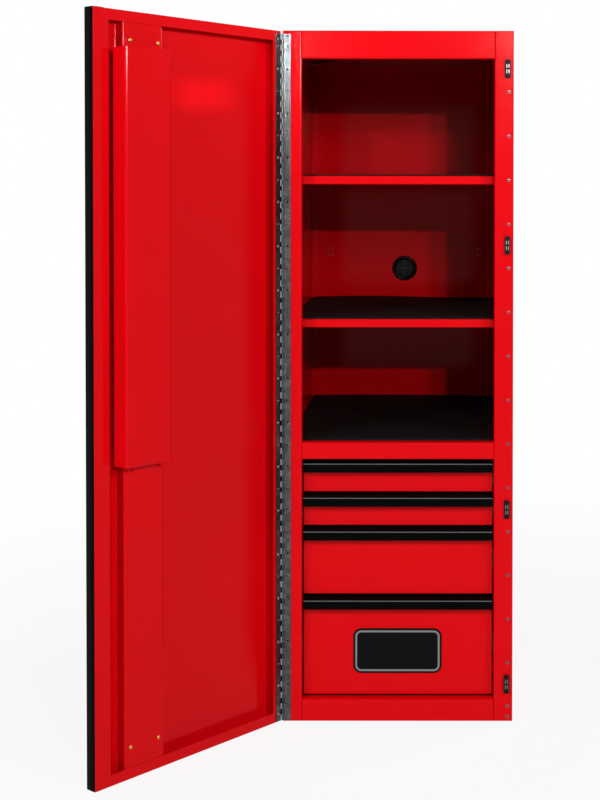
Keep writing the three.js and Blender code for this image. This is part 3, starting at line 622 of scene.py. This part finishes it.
# Nickel is brighter than zinc and wears in patches where the door touches it.
pole_steel, tree, shader = new_material("bright_nickel_steel")
place = add_node(tree, "ShaderNodeTexCoord", {}).outputs["Object"]
wear = add_node(
    tree, "ShaderNodeTexNoise", {"Vector": place, "Scale": 1000 / POLE_WEAR_MM, "Detail": 4.0}
)
gloss = add_node(
    tree, "ShaderNodeMapRange",
    {"Value": wear.outputs["Fac"], "From Min": 0.3, "From Max": 0.7, "To Min": 0.25, "To Max": 0.45},
)
tree.links.new(gloss.outputs["Result"], shader.inputs["Roughness"])
shader.inputs["Base Color"].default_value = linear("#767a7c")
shader.inputs["Metallic"].default_value = 1.0

poles = bmesh.new()
for i in range(1, 5):
    low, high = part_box(f"catch_{i}")
    middle = (low + high) / 2
    add_four(poles, (POLE[0], POLE_THICK, POLE[1]), POLE_PITCH, (middle.x, low.y, middle.z))
round_off(poles, poles.edges[:], POLE_ROUND, EDGE_STEPS)
add_piece("catch_poles", poles, pole_steel, "cabinet")

# Continuous hinge: two long zinc-plated leaves rolled round one pin. Screws hold the one leaf to the
# stile, and riveted studs the other to the door's flange. On the right stile, plated nuts are pressed
# into the same row of holes, for a door hung on that side.
HOLE_TOP = 1.3210
HOLE_PITCH = 0.0921
HOLE_COUNT = 15
HOLE_FOOT = 0.009
HOLE_INSET = 0.0105
END_SCREWS = [1.4365, 1.4145]
END_STUDS = [1.4290, 0.0180]
END_FLUSH_STUD = 1.4145
LEAF_FACE = 0.0015
LEAF_EDGE_MM = 0.2
SCREW = (0.0031, 0.0011)
STUD = (0.0033, 0.0016)
FLUSH_STUD = (0.0020, 0.0005)
HEAD_SINK = 0.0002
HEAD_DEG = 40
HEAD_STEPS = 16
HEAD_MERGE_GAP = 1e-6
NUT_FLANGE = 0.0034
NUT_BARREL = 0.0023
NUT_BORE = 0.0018
NUT_RISE = 0.0007
NUT_DEPTH = 0.0040
BORE_ROUND = 0.0003
FLANGE_ROUND = 0.0004
BLIND_RADIUS = 0.0032
BLIND_DEPTHS = (0.0045, 0.0065)
DOOR_OPEN = math.radians(129)
FORWARD, BACKWARD = Vector((0, -1, 0)), Vector((0, 1, 0))
pin_low, pin_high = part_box("hinge_pin")
pin = Vector(((pin_low.x + pin_high.x) / 2, (pin_low.y + pin_high.y) / 2, 0))
door_rest = Matrix.Translation(pin) @ Matrix.Rotation(-DOOR_OPEN, 4, "Z")

dress(["hinge_cabinet_leaf", "hinge_door_leaf", "hinge_pin"], zinc, LEAF_EDGE_MM, SQUARE_DEG)


def spin_on(mesh, profile, place, facing):
    """Turns radius and height pairs into a solid of revolution that stands at place."""
    verts = [mesh.verts.new((r, 0, h)) for r, h in profile]
    edges = [mesh.edges.new(pair) for pair in zip(verts, verts[1:])]
    known = set(mesh.verts) - set(verts)
    bmesh.ops.spin(
        mesh, geom=verts + edges, axis=(0, 0, 1), cent=(0, 0, 0),
        steps=HEAD_STEPS, angle=2 * math.pi, use_merge=True,
    )
    made = [vert for vert in mesh.verts if vert not in known]
    turn = Vector((0, 0, 1)).rotation_difference(facing).to_matrix().to_4x4()
    bmesh.ops.transform(mesh, matrix=Matrix.Translation(place) @ turn, verts=made)


def screw_head(mesh, place, facing, radius, rise):
    """A domed head with a driver's recess in its middle."""
    spin_on(mesh, [
        (radius, -HEAD_SINK), (radius, 0.3 * rise), (0.85 * radius, 0.75 * rise),
        (0.5 * radius, rise), (0.42 * radius, rise), (0.34 * radius, 0.3 * rise), (0.0, 0.2 * rise),
    ], place, facing)


def stud_head(mesh, place, facing, radius, rise):
    """A plain domed head."""
    spin_on(mesh, [
        (radius, -HEAD_SINK), (radius, 0.15 * rise), (0.8 * radius, 0.7 * rise),
        (0.4 * radius, 0.95 * rise), (0.0, rise),
    ], place, facing)


def finish_heads(mesh, name, material, body):
    bmesh.ops.remove_doubles(mesh, verts=mesh.verts, dist=HEAD_MERGE_GAP)
    bmesh.ops.recalc_face_normals(mesh, faces=mesh.faces)
    piece = add_piece(name, mesh, material, body)
    piece.data.shade_smooth()
    piece.data.set_sharp_from_angle(angle=math.radians(HEAD_DEG))


screw_rows = [HOLE_TOP - i * HOLE_PITCH for i in range(HOLE_COUNT)]
stud_rows = [z + HOLE_PITCH / 2 for z in screw_rows]
stile_screws = bmesh.new()
for z in screw_rows + END_SCREWS + [HOLE_FOOT]:
    seat = Vector((pin.x + HOLE_INSET, pin.y + LEAF_FACE, z))
    screw_head(stile_screws, seat, FORWARD, *SCREW)
finish_heads(stile_screws, "stile_screws", zinc, "cabinet")

door_studs = bmesh.new()
for z in stud_rows + END_STUDS:
    stud_head(door_studs, Vector((HOLE_INSET, -LEAF_FACE, z)), BACKWARD, *STUD)
for z in screw_rows + [END_FLUSH_STUD]:
    stud_head(door_studs, Vector((HOLE_INSET, -LEAF_FACE, z)), BACKWARD, *FLUSH_STUD)
bmesh.ops.transform(door_studs, matrix=door_rest, verts=door_studs.verts)
finish_heads(door_studs, "door_studs", pole_steel, "door")

stile_low, stile_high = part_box("right_side_panel")
spare_x = stile_high.x - HOLE_INSET
stile_nuts = bmesh.new()
for z in screw_rows + [HOLE_FOOT]:
    spin_on(stile_nuts, [
        (NUT_BORE, NUT_DEPTH), (NUT_BORE, -0.6 * NUT_RISE), (NUT_BORE + BORE_ROUND, -NUT_RISE),
        (NUT_FLANGE - FLANGE_ROUND, -0.9 * NUT_RISE), (NUT_FLANGE, 0.0),
        (NUT_BARREL, 0.0), (NUT_BARREL, NUT_DEPTH), (NUT_BORE, NUT_DEPTH),
    ], Vector((spare_x, stile_low.y, z)), BACKWARD)
finish_heads(stile_nuts, "stile_nuts", pole_steel, "cabinet")

# Black caps behind both stiles close the nuts and the holes that take no screw. Their black is a
# painted shade that keeps the holes dark.
hole_shade_caps = bmesh.new()
for x, rows in ((spare_x, screw_rows), (pin.x + HOLE_INSET, stud_rows)):
    for z in rows + [HOLE_FOOT]:
        near, far = BLIND_DEPTHS
        spin_on(
            hole_shade_caps,
            [(0.0, near), (BLIND_RADIUS, near), (BLIND_RADIUS, far), (0.0, far)],
            Vector((x, stile_low.y, z)), BACKWARD,
        )
finish_heads(hole_shade_caps, "nut_shade_caps", housing, "cabinet")

# Door: a folded pan, a hat-section stiffener welded to its skin and a cover over the lock works, all
# in the cabinet's red powder.
DOOR_EDGE_MM = 0.35
dress(["door_pan", "door_stiffener", "lock_cover"], powder, DOOR_EDGE_MM)

# Cover screws: yellow zinc-plated screws that hold the cover's upper tab and the stiffener's foot.
# The pair under the cover's lower tab went through the paint line with the door.
TAB_SCREWS_X = (0.3305, 0.3975)
UPPER_TAB_Z = 1.3920
LOWER_TAB_Z = 0.5835
TAB_FACE = -0.0032
TAB_SCREW = (0.0042, 0.0024)
FOOT_SCREWS_X = (0.3315, 0.3990)
FOOT_SCREW_Z = 0.0606
FOOT_FACE = -0.0050
FOOT_SCREW = (0.0036, 0.0018)
TINT_MM = 3.0

# The chromate bath leaves a golden tint that is never quite even.
yellow_zinc, tree, shader = new_material("yellow_zinc_screw")
place = add_node(tree, "ShaderNodeTexCoord", {}).outputs["Object"]
tint = add_node(
    tree, "ShaderNodeTexNoise", {"Vector": place, "Scale": 1000 / TINT_MM, "Detail": 3.0}
)
colour = add_node(
    tree, "ShaderNodeMix",
    {0: tint.outputs["Fac"], 6: linear("#9c7428"), 7: linear("#d8b765")},
    data_type="RGBA",
)
tree.links.new(colour.outputs[2], shader.inputs["Base Color"])
shader.inputs["Metallic"].default_value = 1.0
shader.inputs["Roughness"].default_value = 0.35

cover_screws = bmesh.new()
for x in TAB_SCREWS_X:
    screw_head(cover_screws, Vector((x, TAB_FACE, UPPER_TAB_Z)), BACKWARD, *TAB_SCREW)
for x in FOOT_SCREWS_X:
    screw_head(cover_screws, Vector((x, FOOT_FACE, FOOT_SCREW_Z)), BACKWARD, *FOOT_SCREW)
bmesh.ops.transform(cover_screws, matrix=door_rest, verts=cover_screws.verts)
finish_heads(cover_screws, "cover_screws", yellow_zinc, "door")

painted_screws = bmesh.new()
for x in TAB_SCREWS_X:
    screw_head(painted_screws, Vector((x, TAB_FACE, LOWER_TAB_Z)), BACKWARD, *TAB_SCREW)
bmesh.ops.transform(painted_screws, matrix=door_rest, verts=painted_screws.verts)
finish_heads(painted_screws, "painted_cover_screws", powder, "door")

# Edge pull: a black anodised channel, extruded like the drawers' pulls and fixed along the whole free
# edge of the door. Its lip stands clear, to draw the door open by.
EDGE_PULL_MM = 0.35
dress(["door_edge_pull"], anodised, EDGE_PULL_MM)

# Key lock: a turned barrel and plug through the door's skin, chrome-plated, with a zinc-plated rod
# inside the cover. The chrome mirrors what is round it, a little hazed where fingers touch it.
TOUCH_MM = 8.0
LOCK_EDGE_MM = 0.3

chrome, tree, shader = new_material("chrome_plate")
place = add_node(tree, "ShaderNodeTexCoord", {}).outputs["Object"]
touch = add_node(
    tree, "ShaderNodeTexNoise", {"Vector": place, "Scale": 1000 / TOUCH_MM, "Detail": 4.0}
)
gloss = add_node(
    tree, "ShaderNodeMapRange",
    {"Value": touch.outputs["Fac"], "From Min": 0.3, "From Max": 0.7, "To Min": 0.08, "To Max": 0.2},
)
tree.links.new(gloss.outputs["Result"], shader.inputs["Roughness"])
shader.inputs["Base Color"].default_value = linear("#c9cccd")
shader.inputs["Metallic"].default_value = 1.0
dress(["lock_barrel", "lock_plug"], chrome, LOCK_EDGE_MM)
dress(["lock_rod"], zinc, LOCK_EDGE_MM)

# Studio: a pale floor that fades to white away from the locker, and a white world. Both are white to
# the eye and to gloss, and add little light of their own.
FLOOR_REACH = 30
FLOOR_DROP = 0.0005
FADE_FROM = 0.8
FADE_TO = 2.4
FLOOR_NEAR_WHITE = 0.88
WORLD_LIGHT = 0.006


def seen_rays(tree):
    """1 for rays that show the background to the camera, straight or through gloss or glass."""
    path = add_node(tree, "ShaderNodeLightPath", {})
    seen = path.outputs["Is Camera Ray"]
    for kind in ("Is Glossy Ray", "Is Transmission Ray"):
        either = add_node(
            tree, "ShaderNodeMath", {0: seen, 1: path.outputs[kind]}, operation="MAXIMUM"
        )
        seen = either.outputs["Value"]
    return seen


ground = bmesh.new()
bmesh.ops.create_grid(ground, x_segments=1, y_segments=1, size=FLOOR_REACH)
bmesh.ops.translate(ground, verts=ground.verts, vec=(0, 0, -FLOOR_DROP))
floor_data = bpy.data.meshes.new("floor")
ground.to_mesh(floor_data)
ground.free()
floor = bpy.data.objects.new("floor", floor_data)
bpy.context.scene.collection.objects.link(floor)
floor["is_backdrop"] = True

floor_white, tree, shader = new_material("pale_floor")
shader.inputs["Base Color"].default_value = linear("#e9e9e9")
shader.inputs["Roughness"].default_value = 0.9
shader.inputs["Specular IOR Level"].default_value = 0.1
place = add_node(tree, "ShaderNodeTexCoord", {}).outputs["Object"]
distance = add_node(tree, "ShaderNodeVectorMath", {0: place}, operation="LENGTH")
fade = add_node(
    tree, "ShaderNodeMapRange",
    {
        "Value": distance.outputs["Value"], "From Min": FADE_FROM, "From Max": FADE_TO,
        "To Min": FLOOR_NEAR_WHITE, "To Max": 1.0,
    },
)
share = add_node(
    tree, "ShaderNodeMath", {0: seen_rays(tree), 1: fade.outputs["Result"]}, operation="MULTIPLY"
)
white = add_node(tree, "ShaderNodeEmission", {"Color": (1, 1, 1, 1), "Strength": 1.0})
both = add_node(
    tree, "ShaderNodeMixShader",
    {0: share.outputs["Value"], 1: shader.outputs["BSDF"], 2: white.outputs["Emission"]},
)
tree.links.new(both.outputs["Shader"], tree.nodes["Material Output"].inputs["Surface"])
floor_data.materials.append(floor_white)

world = bpy.data.worlds.new("studio")
bpy.context.scene.world = world
world.use_nodes = True
tree = world.node_tree
background = tree.nodes["Background"]
level = add_node(
    tree, "ShaderNodeMapRange", {"Value": seen_rays(tree), "To Min": WORLD_LIGHT, "To Max": 1.0}
)
tree.links.new(level.outputs["Result"], background.inputs["Strength"])
background.inputs["Color"].default_value = (1, 1, 1, 1)

# Lamps: two small ones right of the camera reach into the compartments, and a softbox on each side
# lights the front. Narrow ones brighten the top rail and the hinge's top, and two large ones stand
# behind the locker, for its other sides.
front_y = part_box("base_panel")[0].y


def aim(name, light, place, target):
    holder = bpy.data.objects.new(name, light)
    bpy.context.scene.collection.objects.link(holder)
    holder.location = place
    turn = (Vector(target) - Vector(place)).to_track_quat("-Z", "Y")
    holder.rotation_euler = turn.to_euler()


def add_lamp(name, place, target, size, power, spread_deg=180):
    lamp = bpy.data.lights.new(name, "AREA")
    lamp.shape = "DISK"
    lamp.size = size
    lamp.energy = power
    lamp.spread = math.radians(spread_deg)
    aim(name, lamp, place, target)


add_lamp(
    "near_lamp", (0.707, front_y - 3.86, 1.763), (-0.1, front_y, 0.9), size=0.06, power=20
)
add_lamp(
    "far_lamp", (0.946, front_y - 3.86, 1.763), (-0.1, front_y, 0.9), size=0.06, power=20
)
add_lamp(
    "right_softbox", (2.0, front_y - 2.5, 1.95), (-0.1, front_y, 1.0), size=0.7, power=48
)
add_lamp(
    "left_softbox", (-2.1, front_y - 2.8, 2.15), (0.1, front_y, 1.0), size=0.7, power=58
)
add_lamp(
    "top_softbox", (0.6, front_y - 3.3, 2.0), (0.08, front_y, 1.62),
    size=0.4, power=0.8, spread_deg=30,
)
add_lamp(
    "hinge_lamp", (-0.82, front_y - 3.9, 1.98), (-0.24, front_y, 1.42),
    size=0.2, power=0.065, spread_deg=8,
)
add_lamp("back_left_lamp", (-3.0, 3.0, 2.6), (0, 0, 0.7), size=2.0, power=90)
add_lamp("back_right_lamp", (3.4, 1.8, 2.4), (0, 0, 0.7), size=2.0, power=70)

# Door spots: three narrow beams, side by side, throw the long soft patch of light that lies high on
# the door's skin. Each is given by its place along the door, its height and its power.
DOOR_SPOTS = ((0.244, 1.304, 108), (0.200, 1.303, 118), (0.150, 1.308, 118))
SPOT_PLACE = (0.6, front_y - 3.0, 1.5)
SPOT_DEG = 1.6
SPOT_BLEND = 0.8
SPOT_RADIUS = 0.01
SKIN_DEPTH = 0.024
for index, (along_door, height, power) in enumerate(DOOR_SPOTS):
    spot = bpy.data.lights.new(f"door_spot_{index + 1}", "SPOT")
    spot.energy = power
    spot.spot_size = math.radians(SPOT_DEG)
    spot.spot_blend = SPOT_BLEND
    spot.shadow_soft_size = SPOT_RADIUS
    aim(spot.name, spot, SPOT_PLACE, door_rest @ Vector((along_door, -SKIN_DEPTH, height)))

# Camera: the photograph's viewpoint, fitted to the locker's straight edges. It stands at three quarters
# of the locker's height, nearly square to the front. The shift frames the picture as the photograph is.
camera = bpy.data.cameras.new("camera")
camera.lens = 65.13
camera.sensor_width = 36
camera.shift_x = -0.16986
camera.shift_y = -0.20623
eye = bpy.data.objects.new("camera", camera)
bpy.context.scene.collection.objects.link(eye)
eye.location = (0.0715, front_y - 3.0236, 1.0832)
eye.rotation_euler = (math.radians(88.847), math.radians(-0.086), math.radians(-0.140))
bpy.context.scene.camera = eye
bpy.context.scene.view_settings.view_transform = "Standard"

low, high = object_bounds()
